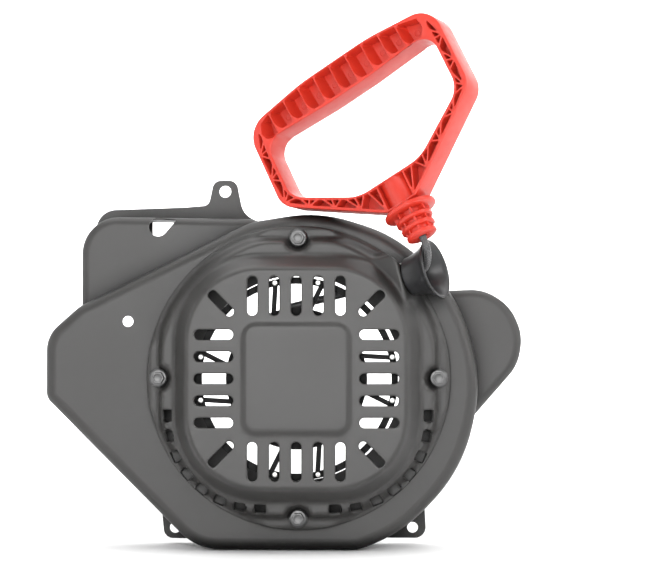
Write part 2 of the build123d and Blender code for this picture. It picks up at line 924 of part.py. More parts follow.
with BuildPart() as rope_lead:
    lead_radii = corner_radii(lead_points)
    print("rope lead radii", [round(radius, 1) for radius in lead_radii])
    with BuildLine() as lead_path:
        FilletPolyline(*lead_points, radius=lead_radii)
    with BuildSketch(Plane(origin=lead_points[0], z_dir=lead_points[1] - lead_points[0])):
        Circle(rope_radius)
    sweep(path=lead_path.line)
    lead_length = lead_path.wires()[0].length
    print("rope lead length", round(lead_length, 1), "volume ratio",
          round(rope_lead.part.volume / (math.pi * rope_radius ** 2 * lead_length), 4))
place_part(rope_lead.part, "rope_lead")

print(len(finished), "nodes written")
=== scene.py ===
import json
import math

import bmesh
import bpy
import numpy as np
from bpy.props import FloatProperty, FloatVectorProperty, PointerProperty
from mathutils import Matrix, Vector, geometry


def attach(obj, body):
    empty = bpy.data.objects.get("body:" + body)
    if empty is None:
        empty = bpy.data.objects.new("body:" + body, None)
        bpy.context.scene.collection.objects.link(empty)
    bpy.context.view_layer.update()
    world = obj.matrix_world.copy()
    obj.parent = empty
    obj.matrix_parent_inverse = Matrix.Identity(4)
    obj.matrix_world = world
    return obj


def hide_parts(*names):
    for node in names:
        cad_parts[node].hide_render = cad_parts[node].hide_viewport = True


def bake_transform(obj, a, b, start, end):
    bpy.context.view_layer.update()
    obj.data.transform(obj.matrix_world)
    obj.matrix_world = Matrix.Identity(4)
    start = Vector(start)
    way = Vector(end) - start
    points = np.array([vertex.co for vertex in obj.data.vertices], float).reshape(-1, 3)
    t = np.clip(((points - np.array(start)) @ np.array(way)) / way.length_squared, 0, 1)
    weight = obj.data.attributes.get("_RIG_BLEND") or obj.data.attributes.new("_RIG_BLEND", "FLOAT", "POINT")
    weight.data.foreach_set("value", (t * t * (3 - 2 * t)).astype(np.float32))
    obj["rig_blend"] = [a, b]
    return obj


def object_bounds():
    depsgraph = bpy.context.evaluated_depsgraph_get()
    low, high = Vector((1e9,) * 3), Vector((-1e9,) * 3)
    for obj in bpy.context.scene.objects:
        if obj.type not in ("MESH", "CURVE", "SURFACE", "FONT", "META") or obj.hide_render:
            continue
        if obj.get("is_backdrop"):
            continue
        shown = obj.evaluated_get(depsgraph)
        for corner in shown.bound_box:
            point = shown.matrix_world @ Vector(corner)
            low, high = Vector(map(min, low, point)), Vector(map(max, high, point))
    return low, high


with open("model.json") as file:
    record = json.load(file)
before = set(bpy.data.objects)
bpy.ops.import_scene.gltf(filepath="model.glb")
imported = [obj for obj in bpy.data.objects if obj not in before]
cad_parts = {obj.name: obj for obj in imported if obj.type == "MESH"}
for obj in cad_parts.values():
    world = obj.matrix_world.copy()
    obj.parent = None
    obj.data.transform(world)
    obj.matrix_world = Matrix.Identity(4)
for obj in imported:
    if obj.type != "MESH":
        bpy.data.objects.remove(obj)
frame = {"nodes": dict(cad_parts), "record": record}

bl_info = {
    "name": "Recoil starter",
    "version": (1, 0, 0),
    "blender": (4, 5, 0),
    "location": "View3D > Sidebar > Recoil starter",
    "description": "Builds the looks of a pull starter on its pressed-steel fan housing",
    "category": "Object",
}

MM = 0.001
UP = Vector((0, 0, 1))

# The handle's own frame: across the grip, up its stem, and out of its face.
TILT, YAW, LEAN = (math.radians(a) for a in (29.3, 26.4, -4.4))
NOSE = Vector((82.0, -95.8, 92.0))


def handle_vector(x, z):
    """Direction in the handle's own plane, tilted, leaned and yawed."""
    flat_x = x * math.cos(TILT) - z * math.sin(TILT)
    flat_z = x * math.sin(TILT) + z * math.cos(TILT)
    y = -flat_z * math.sin(LEAN)
    return Vector((flat_x * math.cos(YAW) + y * math.sin(YAW),
                   -flat_x * math.sin(YAW) + y * math.cos(YAW),
                   flat_z * math.cos(LEAN)))


ACROSS, STEM = handle_vector(1, 0), handle_vector(0, 1)
OUT = ACROSS.cross(STEM)

# The rope guide's axis.
ELEVATION, FORWARD = math.radians(17.0), math.radians(24.0)
ROPE_AXIS = Vector((math.cos(ELEVATION) * math.cos(FORWARD), -math.sin(FORWARD),
                    math.sin(ELEVATION) * math.cos(FORWARD)))
GUIDE = Vector((73.5, -72.0, 66.5))

# The handle in its own frame, in millimetres: half its thickness, its rolled edge and its grip.
HALF_DEPTH, EDGE_ROLL = 10.0, 0.8
GRIP_FLOOR, FIRST_RIB, RIB_PITCH, GRIP_POCKETS = 112.4, -57.4, 13.3, 10
TRUSS_BAYS = 7
NECK_RADIUS = 8.2

# The cover's heights forward from the engine's face, then its sizes seen from the front.
FACE, SHEET = 60.0, 1.5
FLANGE = FACE + SHEET
EAR, SHELF, PLATE, PAD_RISE = 64.0, 74.0, 92.0, 1.6
COVER_RADIUS, FLANGE_RADIUS = 100.5, 97.86
SHELF_RADIUS, SLOPE_RADIUS = COVER_RADIUS - 8, COVER_RADIUS - 2
PLATE_HALF, PLATE_CORNER, WALL_RUN = 72, 48, 9
PAD_WIDTH, PAD_DEPTH, PAD_CORNER, PAD_EDGE = 70, 72, 9, 1.3
BOLT_CIRCLE, BOLT_HOLE = 92.5, 6.8
EAR_INNER, EAR_OUTER, EAR_HALF, EAR_BOSS = BOLT_CIRCLE - 1.5, 99.7, 33, 7.9
EAR_SHOULDER, EAR_NARROWING, EAR_TAPER = 93, 13, 6.7
OUTLET_REACH, OUTLET_HALF_DEPTH, OUTLET_HALF_WIDTH = 46, 12.5, 18
SLOT, SLOT_RADIUS, SLOT_PITCH = (25.6, 6.6), 53.8, 14.3
CORNER_SLOT, CORNER_SLOT_RADIUS = (21.5, 6.0), 69.3
WINDOW, WINDOW_HALF, WINDOW_CORNER, WINDOW_FIRST, WINDOWS = (6.5, 7.5), 86.0, 59, 24.5, 8
QUARTERS = (0, 90, 180, 270)
NOWHERE = -1e3


# ---- sizes and colours -------------------------------------------------------------------------
def colour(label, note, value):
    return FloatVectorProperty(name=label, description=note, subtype="COLOR", size=3, min=0, max=1,
                               default=value)


def length(label, note, value):
    return FloatProperty(name=label, description=note, unit="LENGTH", min=0, default=value)


class StarterSettings(bpy.types.PropertyGroup):
    """Sizes in metres and linear colours used by the operators."""

    paint: colour("Paint", "Satin black of the pressed steel", (0.026, 0.025, 0.024))
    # Guard paint: the guard's own black, made extra dark as painted shade inside the slots and windows.
    guard_paint: colour("Guard paint", "Darker black of the parts behind the slots", (0.006, 0.006, 0.006))
    nylon: colour("Nylon", "Black of the rope guide", (0.016, 0.016, 0.017))
    red: colour("Red", "Moulded red of the handle", (0.52, 0.028, 0.014))
    bolt: colour("Bolt", "Black oxide of the bolts", (0.10, 0.10, 0.10))
    zinc: colour("Zinc", "Plated steel", (0.55, 0.55, 0.53))
    steel: colour("Steel", "Spring steel", (0.32, 0.33, 0.36))
    rope: colour("Rope", "Black of the braided rope", (0.035, 0.035, 0.036))
    floor: colour("Floor", "Pale studio floor", (0.92, 0.92, 0.92))
    rope_diameter: length("Rope diameter", "Diameter of the pull rope", 0.005)
    rib: length("Rib", "Thickness of the handle's ribs", 0.0011)
    pocket_depth: length("Pocket depth", "Depth of the handle's pockets", 0.009)
    camera_distance: length("Camera distance", "From the cover's face to the camera", 1.4)


def settings():
    """The scene's sizes and colours."""
    return bpy.context.scene.starter_settings


# ---- materials -----------------------------------------------------------------------------------
def surface(name, base, rough, metal=0.0, spec=0.5, coat=0.0, sheen=0.0, subsurface=0.0):
    """A Principled material with its nodes, and the parts that the finishes below join to it."""
    found = bpy.data.materials.get(name)
    if found:
        return None, found, None, None, None
    made = bpy.data.materials.new(name)
    made.use_nodes = True
    nodes, links = made.node_tree.nodes, made.node_tree.links
    shader = nodes["Principled BSDF"]
    for socket, value in (("Base Color", (*base, 1)), ("Roughness", rough), ("Metallic", metal),
                          ("Specular IOR Level", spec), ("Coat Weight", coat), ("Sheen Weight", sheen),
                          ("Subsurface Weight", subsurface)):
        shader.inputs[socket].default_value = value
    where = nodes.new("ShaderNodeTexCoord").outputs["Object"]
    return nodes, made, links, shader, where


def noise(nodes, links, where, scale, detail=3.0, rough=0.5):
    texture = nodes.new("ShaderNodeTexNoise")
    texture.inputs["Scale"].default_value = scale
    texture.inputs["Detail"].default_value = detail
    texture.inputs["Roughness"].default_value = rough
    links.new(where, texture.inputs["Vector"])
    return texture.outputs["Fac"]


def spread(nodes, links, value, low, high, new_low, new_high):
    step = nodes.new("ShaderNodeMapRange")
    for socket, number in zip(("From Min", "From Max", "To Min", "To Max"), (low, high, new_low, new_high)):
        step.inputs[socket].default_value = number
    links.new(value, step.inputs["Value"])
    return step.outputs["Result"]


def blend_colours(nodes, links, factor, first, second):
    mix = nodes.new("ShaderNodeMix")
    mix.data_type = "RGBA"
    links.new(factor, mix.inputs["Factor"])
    for socket, value in ((mix.inputs["A"], first), (mix.inputs["B"], second)):
        if isinstance(value, bpy.types.NodeSocket):
            links.new(value, socket)
        else:
            socket.default_value = (*value, 1)
    return mix.outputs["Result"]


def bump(nodes, links, shader, height, strength, distance, under=None):
    made = nodes.new("ShaderNodeBump")
    made.inputs["Strength"].default_value = strength
    made.inputs["Distance"].default_value = distance
    links.new(height, made.inputs["Height"])
    if under is not None:
        links.new(under, made.inputs["Normal"])
    links.new(made.outputs["Normal"], shader.inputs["Normal"])
    return made.outputs["Normal"]


def lighter(base, factor):
    """A colour made lighter, or darker where the factor is under one."""
    return tuple(min(1.0, part * factor) for part in base)


def paint_finish(name, base, rough=0.42, peel=0.10, spec=0.5):
    """Powder coat: orange peel, soft clouds of tone and gloss, and painted shade that darkens the corners and
    hollows and dims their gloss.
    """
    nodes, made, links, shader, where = surface(name, base, rough, spec=spec)
    if nodes is None:
        return made
    clouds = noise(nodes, links, where, 16, 4)
    fine = noise(nodes, links, where, 420, 2)
    tone = blend_colours(nodes, links, spread(nodes, links, clouds, 0.35, 0.65, 0, 1),
                         lighter(base, 0.86), lighter(base, 1.14))
    # Painted shade: ambient occlusion darkens the paint to near black and lowers its gloss in corners,
    # hollows and behind the slots and windows.
    corner = nodes.new("ShaderNodeAmbientOcclusion")
    corner.samples = 6
    corner.inputs["Distance"].default_value = 0.02
    outside_painted_shade = spread(nodes, links, corner.outputs["AO"], 0.25, 0.8, 0, 1)
    tone = blend_colours(nodes, links, outside_painted_shade, lighter(base, 0.15), tone)
    links.new(tone, shader.inputs["Base Color"])
    links.new(spread(nodes, links, outside_painted_shade, 0, 1, 0.03, spec), shader.inputs["Specular IOR Level"])
    links.new(spread(nodes, links, clouds, 0.3, 0.7, rough - 0.04, rough + 0.06), shader.inputs["Roughness"])
    first = bump(nodes, links, shader, noise(nodes, links, where, 55, 2), 0.06, 0.0006)
    bump(nodes, links, shader, fine, peel, 0.00012, first)
    return made


def plastic_finish(name, base, rough=0.34, subsurface=0.0, grain=0.12):
    """Moulded plastic: faint flow marks, fine grain and a little depth to the colour."""
    nodes, made, links, shader, where = surface(name, base, rough, spec=0.5, subsurface=subsurface)
    if nodes is None:
        return made
    shader.inputs["Subsurface Radius"].default_value = (0.004, 0.0012, 0.0008)
    clouds = noise(nodes, links, where, 38, 4)
    tone = blend_colours(nodes, links, spread(nodes, links, clouds, 0.35, 0.65, 0, 1),
                         lighter(base, 0.94), lighter(base, 1.06))
    links.new(tone, shader.inputs["Base Color"])
    links.new(spread(nodes, links, noise(nodes, links, where, 210, 3), 0.3, 0.7, rough - 0.05, rough + 0.07),
              shader.inputs["Roughness"])
    bump(nodes, links, shader, noise(nodes, links, where, 900, 3), grain, 0.0001)
    return made


def metal_finish(name, base, rough=0.3, streak=1.0, blue=None):
    """Plated, oxidised or bright metal with fine drawn scratches and patches of tone."""
    nodes, made, links, shader, where = surface(name, base, rough, metal=1.0)
    if nodes is None:
        return made
    stretch = nodes.new("ShaderNodeMapping")
    stretch.inputs["Scale"].default_value = (1.0, 0.06, 1.0)
    links.new(where, stretch.inputs["Vector"])
    lines = noise(nodes, links, stretch.outputs["Vector"], 1500, 2)
    patches = noise(nodes, links, where, 90, 4)
    tone = blend_colours(nodes, links, spread(nodes, links, patches, 0.35, 0.7, 0, 1),
                         lighter(base, 0.75), blue or lighter(base, 1.2))
    links.new(tone, shader.inputs["Base Color"])
    links.new(spread(nodes, links, patches, 0.3, 0.7, rough - 0.08, rough + 0.12), shader.inputs["Roughness"])
    bump(nodes, links, shader, lines, 0.12 * streak, 0.00005)
    return made


def rope_finish(name, base):
    """Braided rope: fibre lines, sheen and a dry look."""
    nodes, made, links, shader, where = surface(name, base, 0.38, sheen=0.25)
    if nodes is None:
        return made
    fibres = noise(nodes, links, where, 2600, 3)
    tone = blend_colours(nodes, links, spread(nodes, links, fibres, 0.35, 0.65, 0, 1),
                         lighter(base, 0.6), lighter(base, 2.2))
    links.new(tone, shader.inputs["Base Color"])
    bump(nodes, links, shader, fibres, 0.4, 0.0001)
    return made


def finish_for(slot):
    """The material of one of the record's slots."""
    s = settings()
    makers = {
        "housing_paint": lambda: paint_finish("HousingPaint", s.paint, 0.46, 0.10),
        "cover_paint": lambda: paint_finish("CoverPaint", s.paint, 0.42, 0.12),
        # The guard and the reels take the extra dark guard colour, which is partly painted shade behind the
        # slots.
        "guard_paint": lambda: paint_finish("GuardPaint", s.guard_paint, 0.62, 0.14, 0.2),
        "black_bolt": lambda: metal_finish("BlackBolt", s.bolt, 0.34),
        "zinc_steel": lambda: metal_finish("ZincSteel", s.zinc, 0.32),
        "spring_steel": lambda: metal_finish("SpringSteel", s.steel, 0.28, 0.6, (0.30, 0.34, 0.42)),
        "pawl_steel": lambda: metal_finish("PawlSteel", s.steel, 0.4, 1.4),
        "reel_plastic": lambda: plastic_finish("ReelPlastic", s.guard_paint, 0.42),
        "guide_plastic": lambda: plastic_finish("GuidePlastic", s.nylon, 0.36, 0.0, 0.08),
        "handle_plastic": lambda: plastic_finish("HandlePlastic", s.red, 0.34, 0.05, 0.10),
        "rope": lambda: rope_finish("RopeFibre", s.rope),
    }
    return makers[slot]()


# ---- meshes --------------------------------------------------------------------------------------
def piece(name, vertices, faces, slot, sharp=32, body=None, places=None):
    """A mesh object from points in metres, shaded smooth between its sharp edges."""
    mesh = bpy.data.meshes.new(name)
    mesh.from_pydata([tuple(v) for v in vertices], [], faces)
    mesh.validate()
    work = bmesh.new()
    work.from_mesh(mesh)
    bmesh.ops.remove_doubles(work, verts=work.verts, dist=1e-6)
    bmesh.ops.dissolve_degenerate(work, edges=work.edges, dist=1e-7)
    bmesh.ops.recalc_face_normals(work, faces=work.faces)
    work.to_mesh(mesh)
    work.free()
    made = bpy.data.objects.new(name, mesh)
    bpy.context.scene.collection.objects.link(made)
    dress(made, slot, sharp)
    if body:
        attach(made, body)
    return made


def dress(made, slot, sharp=32):
    mesh = made.data
    mesh.materials.clear()
    mesh.materials.append(finish_for(slot))
    mesh.polygons.foreach_set("use_smooth", [True] * len(mesh.polygons))
    mesh.set_sharp_from_angle(angle=math.radians(sharp))


def softened(node, name, slot, body, width, segments, sharp=34):
    """A copy of a CAD node with its edges rolled over, as pressing and tumbling leave them."""
    mesh = frame["nodes"][node].data.copy()
    mesh.name = name
    work = bmesh.new()
    work.from_mesh(mesh)
    bmesh.ops.remove_doubles(work, verts=work.verts, dist=2e-6)
    bmesh.ops.dissolve_limit(work, angle_limit=math.radians(0.4), verts=work.verts, edges=work.edges)
    bmesh.ops.recalc_face_normals(work, faces=work.faces)
    layers = work.edges.layers.float
    weights = layers.get("bevel_weight_edge") or layers.new("bevel_weight_edge")
    for edge in work.edges:
        if len(edge.link_faces) == 2 and edge.calc_face_angle(0) > math.radians(24):
            edge[weights] = 1.0
    work.to_mesh(mesh)
    work.free()
    if "custom_normal" in mesh.attributes:
        mesh.attributes.remove(mesh.attributes["custom_normal"])
    made = bpy.data.objects.new(name, mesh)
    bpy.context.scene.collection.objects.link(made)
    bevel = made.modifiers.new("Rolled", "BEVEL")
    bevel.limit_method = "WEIGHT"
    bevel.width = width
    bevel.segments = segments
    bevel.use_clamp_overlap = True
    bevel.loop_slide = True
    graph = bpy.context.evaluated_depsgraph_get()
    rolled = bpy.data.meshes.new_from_object(made.evaluated_get(graph))
    made.modifiers.clear()
    made.data = rolled
    rolled.name = name
    dress(made, slot, sharp)
    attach(made, body)
    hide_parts(node)
    return made


def lathe(origin, axis, profile, steps=96):
    """Vertices in metres and faces of a closed profile (radius, along) in mm, turned round an axis."""
    axis = axis.normalized()
    side = axis.cross(UP if abs(axis.z) < 0.9 else Vector((1, 0, 0))).normalized()
    other = axis.cross(side)
    vertices = []
    for radius, along in profile:
        for step in range(steps):
            turn = 2 * math.pi * step / steps
            spoke = (side * math.cos(turn) + other * math.sin(turn)) * radius
            vertices.append((origin + axis * along + spoke) * MM)
    faces = []
    count = len(profile)
    for row in range(count):
        after = (row + 1) % count
        for step in range(steps):
            wrap = (step + 1) % steps
            faces.append((row * steps + step, row * steps + wrap, after * steps + wrap, after * steps + step))
    return vertices, faces


def rounded(points, radii, step=0.8):
    """A closed polygon with its corners turned into arcs."""
    count = len(points)
    result = []
    for index, (point, radius) in enumerate(zip(points, radii)):
        point = np.array(point, float)
        before = np.array(points[index - 1], float) - point
        after = np.array(points[(index + 1) % count], float) - point
        before_length, after_length = np.linalg.norm(before), np.linalg.norm(after)
        before, after = before / before_length, after / after_length
        turn = math.acos(max(-1, min(1, float(before @ after))))
        if radius <= 0 or turn > math.pi - 1e-4:
            result.append(point)
            continue
        reach = radius / math.tan(turn / 2)
        reach = min(reach, 0.5 * before_length, 0.5 * after_length)
        radius = reach * math.tan(turn / 2)
        middle = (before + after) / np.linalg.norm(before + after)
        centre = point + middle * radius / math.sin(turn / 2)
        first, last = point + before * reach - centre, point + after * reach - centre
        sweep = math.atan2(first[0] * last[1] - first[1] * last[0], float(first @ last))
        parts = max(3, int(abs(sweep) * radius / step) + 1)
        for part in range(parts + 1):
            angle = sweep * part / parts
            result.append(centre + np.array((first[0] * math.cos(angle) - first[1] * math.sin(angle),
                                             first[0] * math.sin(angle) + first[1] * math.cos(angle))))
    return np.array(result)


def area(loop):
    """Signed area of a closed loop."""
    x, y = loop[:, 0], loop[:, 1]
    return 0.5 * float(np.sum(x * np.roll(y, -1) - y * np.roll(x, -1)))


def moved_out(loop, distance):
    """The loop moved outwards by a distance, corner by corner."""
    sign = 1 if area(loop) > 0 else -1
    before = loop - np.roll(loop, 1, axis=0)
    after = np.roll(loop, -1, axis=0) - loop
    before /= np.maximum(np.linalg.norm(before, axis=1, keepdims=True), 1e-9)
    after /= np.maximum(np.linalg.norm(after, axis=1, keepdims=True), 1e-9)
    normal = np.stack([before[:, 1] + after[:, 1], -(before[:, 0] + after[:, 0])], axis=1) * sign
    size = np.maximum(np.linalg.norm(normal, axis=1, keepdims=True), 1e-9)
    normal /= size
    cosine = np.clip(normal[:, 0] * before[:, 1] * sign - normal[:, 1] * before[:, 0] * sign, 0.35, 1)
    return loop + normal * (distance / cosine)[:, None]


def inside(loop, points):
    """Which points lie inside a closed loop."""
    x, y = points[:, 0], points[:, 1]
    found = np.zeros(len(points), bool)
    for (ax, ay), (bx, by) in zip(loop, np.roll(loop, -1, axis=0)):
        if ay == by:
            continue
        crossing = ((ay > y) != (by > y)) & (x < (bx - ax) * (y - ay) / (by - ay) + ax)
        found ^= crossing
    return found


def clean_loop(loop, gap=0.05):
    """The loop without points that nearly coincide."""
    kept = [loop[0]]
    for point in loop[1:]:
        if np.linalg.norm(point - kept[-1]) > gap:
            kept.append(point)
    if np.linalg.norm(kept[0] - kept[-1]) <= gap:
        kept.pop()
    return np.array(kept)


def relief(rings, outline, holes, points=()):
    """Triangles over a plane region: rings are (loop, height) pairs that the triangles follow."""
    vertices, heights, edges = [], [], []
    for loop, height in rings:
        start = len(vertices)
        vertices += [tuple(p) for p in loop]
        heights += list(height) if hasattr(height, "__len__") else [height] * len(loop)
        edges += [(start + i, start + (i + 1) % len(loop)) for i in range(len(loop))]
    for x, y, height in points:
        vertices.append((x, y))
        heights.append(height)
    result = geometry.delaunay_2d_cdt([Vector(v) for v in vertices], edges, [], 0, 1e-5)
    flat = np.array([tuple(v) for v in result[0]])
    level = np.array([heights[original[0]] if original else math.nan for original in result[3]])
    known = ~np.isnan(level)
    for index in np.flatnonzero(~known):
        gaps = np.hypot(*(flat[known] - flat[index]).T)
        level[index] = level[known][int(np.argmin(gaps))]
    faces = [tuple(face) for face in result[2]]
    centres = np.array([flat[list(face)].mean(axis=0) for face in faces])
    keep = inside(outline, centres)
    for hole in holes:
        keep &= ~inside(hole, centres)
    return flat, level, [face for face, good in zip(faces, keep) if good]


# ---- handle --------------------------------------------------------------------------------------
def mirrored(half, radii):
    """An outline and its corner radii, made from the right half of it."""
    return [*half, *[(-x, y) for x, y in reversed(half)]], [*radii, *reversed(radii)]


def shrunk(points, margins):
    """A convex polygon with each side moved inwards by its own margin."""
    points = [np.array(p, float) for p in points]
    if area(np.array(points)) < 0:
        points.reverse()
        margins = list(reversed(margins[:-1])) + [margins[-1]]
    lines = []
    for index, point in enumerate(points):
        after = points[(index + 1) % len(points)]
        along = (after - point) / np.linalg.norm(after - point)
        inward = np.array((-along[1], along[0]))
        lines.append((point + inward * margins[index], along))
    corners = []
    for index in range(len(lines)):
        (p, d), (q, e) = lines[index - 1], lines[index]
        cross = d[0] * e[1] - d[1] * e[0]
        t = ((q - p)[0] * e[1] - (q - p)[1] * e[0]) / cross
        corners.append(p + d * t)
    return corners


def along_line(points, share):
    """The point at a share of the way along a polyline."""
    points = np.array(points, float)
    steps = np.linalg.norm(np.diff(points, axis=0), axis=1)
    total = np.concatenate([[0], np.cumsum(steps)])
    at = share * total[-1]
    return np.array([np.interp(at, total, points[:, 0]), np.interp(at, total, points[:, 1])])


def dense(loop, step):
    """The loop with extra points, so that none of its sides is longer than a step."""
    result = []
    for point, after in zip(loop, np.roll(loop, -1, axis=0)):
        parts = max(1, int(np.linalg.norm(after - point) / step))
        result += [point + (after - point) * part / parts for part in range(parts)]
    return np.array(result)


def crown_line(across):
    """Inner edge of the rim along the top of the grip."""
    far = abs(across)
    if far < 60:
        return 132.7 - 0.125 * max(0, far - 25)
    return 113.1 + math.sqrt(max(0, 15.4 ** 2 - (far - 59.8) ** 2))


def grip_pockets():
    """Top and floor loops of the pockets in the grip; the first and last follow the rim's shoulders."""
    ribs = [FIRST_RIB + RIB_PITCH * index for index in range(GRIP_POCKETS - 1)]
    pockets = []
    for index in range(GRIP_POCKETS):
        low = GRIP_FLOOR
        if index == 0:
            right = ribs[0]
            top = [(-65.8, 125.2), (-68.0, 119.0), (-66.5, 114.2), (-62.5, low), (right + 0.6, low),
                   (right - 0.5, crown_line(right))]
            radii = [1, 4, 4, 3, 0.8, 0.8]
            floor = [(-62.0, 126.0), (-63.6, 117.0), (-61.0, low + 1.2), (right + 0.1, low + 1.0),
                     (right - 1.2, crown_line(right) - 0.9)]
        elif index == GRIP_POCKETS - 1:
            left = ribs[-1]
            top = [(left + 0.5, crown_line(left)), (left + 0.9, low + 5), (left + 4.4, low),
                   (62.2, low + 0.4), (65.9, 118.0), (64.6, 125.6)]
            radii = [0.8, 10, 3.4, 3, 3, 1]
            floor = [(left + 4.0, crown_line(left) - 1.1), (left + 5.6, low + 1.0), (61.4, low + 1.5),
                     (64.4, 118.0), (63.0, 125.0)]
        else:
            left, right = ribs[index - 1], ribs[index]
            low = GRIP_FLOOR + 0.05 * max(0, abs((left + right) / 2) - 16)
            top = [(left + 0.5, crown_line(left)), (left + 0.9, low + 5), (left + 4.4, low),
                   (right + 0.6, low), (right - 0.5, crown_line(right))]
            radii = [0.8, 10, 3.4, 0.8, 0.8]
            floor = [(left + 4.0, crown_line(left + 4) - 1.0), (left + 5.6, low + 1.0),
                     (right + 0.1, low + 1.0), (right - 1.2, crown_line(right) - 1.0)]
        pockets.append((rounded(top, radii, 0.7), rounded(floor, [0.35] * len(floor), 0.3), True))
    return pockets


def truss_pockets():
    """Top and floor loops of the fans of thin ribs in the lower bars and arms."""
    rib = settings().rib / MM
    inner = [(10.6, 41.9), (17, 42), (25, 43.3), (32.8, 46.5), (40, 50.8), (60, 62.7), (65.2, 66.6),
             (68.1, 70.6), (69.4, 75), (69.8, 80), (69.8, 106), (69.2, 113), (68.4, 120), (68.0, 124.2)]
    outer = [(10.6, 24.3), (40, 44), (60, 57.5), (69.6, 63.9), (73.2, 67.2), (75.2, 71.3), (75.4, 76),
             (75.4, 111), (74.4, 117), (71.8, 121.9), (69.6, 124.2)]
    beside = np.array([(-9.8, 41.9), (-9.8, 24.6), (9.8, 24.6), (9.8, 41.9)], float)
    pockets = [(beside, moved_out(beside, -0.2), False)]
    for side in (1, -1):
        for bay in range(TRUSS_BAYS):
            first, last = bay / TRUSS_BAYS, (bay + 1) / TRUSS_BAYS
            low, high = first + 0.40 / TRUSS_BAYS, first + 0.60 / TRUSS_BAYS
            outer_first, outer_last = along_line(outer, first), along_line(outer, last)
            inner_low, inner_high = along_line(inner, low), along_line(inner, high)
            for shape in (
                (outer_first, along_line(inner, first), inner_low),
                (outer_first, inner_low, inner_high, outer_last),
                (outer_last, inner_high, along_line(inner, last)),
            ):
                corners = [(side * x, y) for x, y in shape]
                top = np.array(shrunk(corners, [rib / 2] * len(corners)))
                if area(top) < 2.2:
                    continue
                top = rounded(top, [0.45] * len(top), 0.4)
                pockets.append((top, moved_out(clean_loop(top), -0.14), False))
    return pockets


def handle_rings():
    """The handle's outline and opening, and every (loop, height) pair of its relief."""
    points, radii = mirrored([(11.5, 23.2), (77.0, 67.2), (76.8, 128.0), (28.0, 134.1)], [1, 15, 17, 150])
    outline = clean_loop(rounded(points, radii, 1.2))
    points, radii = mirrored([(25.0, 43.4), (68.2, 69.3), (68.2, 113.1), (16.0, 110.5)], [30, 16, 12, 150])
    opening = clean_loop(rounded(points, radii, 1.2))
    rings = []
    for loop, sign in ((outline, -1), (opening, 1)):
        for share in (0, 0.08, 0.3, 0.62, 1.0):
            distance = share * EDGE_ROLL
            drop = EDGE_ROLL - math.sqrt(max(0, EDGE_ROLL ** 2 - (EDGE_ROLL - distance) ** 2))
            height = HALF_DEPTH - drop
            rings.append((moved_out(loop, sign * distance) if distance else loop, height))
    for top, floor, pin in grip_pockets() + truss_pockets():
        top, floor = dense(clean_loop(top), 0.9), dense(clean_loop(floor), 0.9)
        depth = settings().pocket_depth / MM
        rings.append((moved_out(top, 0.30), HALF_DEPTH))
        rings.append((moved_out(top, 0.12), HALF_DEPTH - 0.07))
        rings.append((top, HALF_DEPTH - 0.32))
        rings.append((floor, HALF_DEPTH - depth))
        if pin:
            turns = np.linspace(0, 2 * math.pi, 28, endpoint=False)
            middle = floor.mean(axis=0)
            disc = np.stack([np.cos(turns), np.sin(turns)], axis=1)
            rings.append((middle + disc * 2.2, HALF_DEPTH - depth))
            rings.append((middle + disc * 1.95, HALF_DEPTH - depth - 0.22))
            rings.append((middle + disc * 1.7, HALF_DEPTH - depth))
    return outline, opening, rings


def handle_body():
    """Rolled rims, ribbed grip and truss ribs, the same on both sides."""
    outline, opening, rings = handle_rings()
    flat, level, faces = relief(rings, outline, [opening])
    vertices, sheets = [], []
    for sign in (1, -1):
        start = len(vertices)
        for (across, up), height in zip(flat, level):
            vertices.append((NOSE + ACROSS * across + STEM * up + OUT * sign * height) * MM)
        sheets += [tuple(start + i for i in face) for face in faces]
    count = len(flat)
    for loop in (outline, opening):
        ids = [int(np.argmin(np.abs(flat[:, 0] - x) + np.abs(flat[:, 1] - y))) for x, y in loop]
        for first, second in zip(ids, ids[1:] + ids[:1]):
            if first != second:
                sheets.append((first, second, second + count, first + count))
    return piece("pull_handle_body", vertices, sheets, "handle_plastic", 40, "handle")


def handle_stem():
    """The round stem with its three rings, its collar and the bore for the rope."""
    neck = NECK_RADIUS
    profile = [(3.0, -0.0), (9.6, 0.0), (10.3, 0.5), (10.3, 2.2), (9.9, 2.6), (neck, 2.9), (neck, 5.2),
               (11.0, 5.5), (11.5, 5.9), (11.5, 7.7), (11.0, 8.1), (neck, 8.4), (neck, 11.0),
               (12.0, 11.3), (12.5, 11.7), (12.5, 13.5), (12.0, 13.9), (8.4, 14.2), (8.6, 17.6),
               (16.8, 17.9), (17.6, 18.5), (17.6, 20.3), (16.8, 20.9), (12.0, 21.1), (11.0, 22.2),
               (10.7, 24.0), (10.7, 41.8), (10.2, 42.6), (8.0, 42.9), (7.0, 42.9), (7.0, 28.0), (3.0, 28.0)]
    vertices, faces = lathe(NOSE, STEM, profile, 88)
    return piece("pull_handle_stem", vertices, faces, "handle_plastic", 38, "handle")


def handle_webs():
    """Small webs that stand between the rings of the stem."""
    foot, half_web = 7.8, 0.7
    vertices, faces = [], []
    for low, high, reach in ((2.7, 5.4, 9.6), (8.2, 11.2, 10.8), (14.0, 17.8, 12.2)):
        for step in range(8):
            turn = math.pi * (step + 0.5) / 4
            direction = ACROSS * math.cos(turn) + OUT * math.sin(turn)
            beside = STEM.cross(direction) * half_web
            start = len(vertices)
            for along in (low, high):
                for radius, sign in ((foot, -1), (reach, -1), (reach, 1), (foot, 1)):
                    vertices.append((NOSE + STEM * along + direction * radius + beside * sign) * MM)
            for face in ((0, 1, 2, 3), (4, 5, 6, 7), (0, 1, 5, 4), (1, 2, 6, 5), (2, 3, 7, 6), (3, 0, 4, 7)):
                faces.append(tuple(start + i for i in face))
    return piece("pull_handle_webs", vertices, faces, "handle_plastic", 30, "handle")


def build_handle():
    """The D-handle, which takes the place of its CAD node."""
    body, stem, webs = handle_body(), handle_stem(), handle_webs()
    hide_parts("pull_handle")
    return body, stem, webs


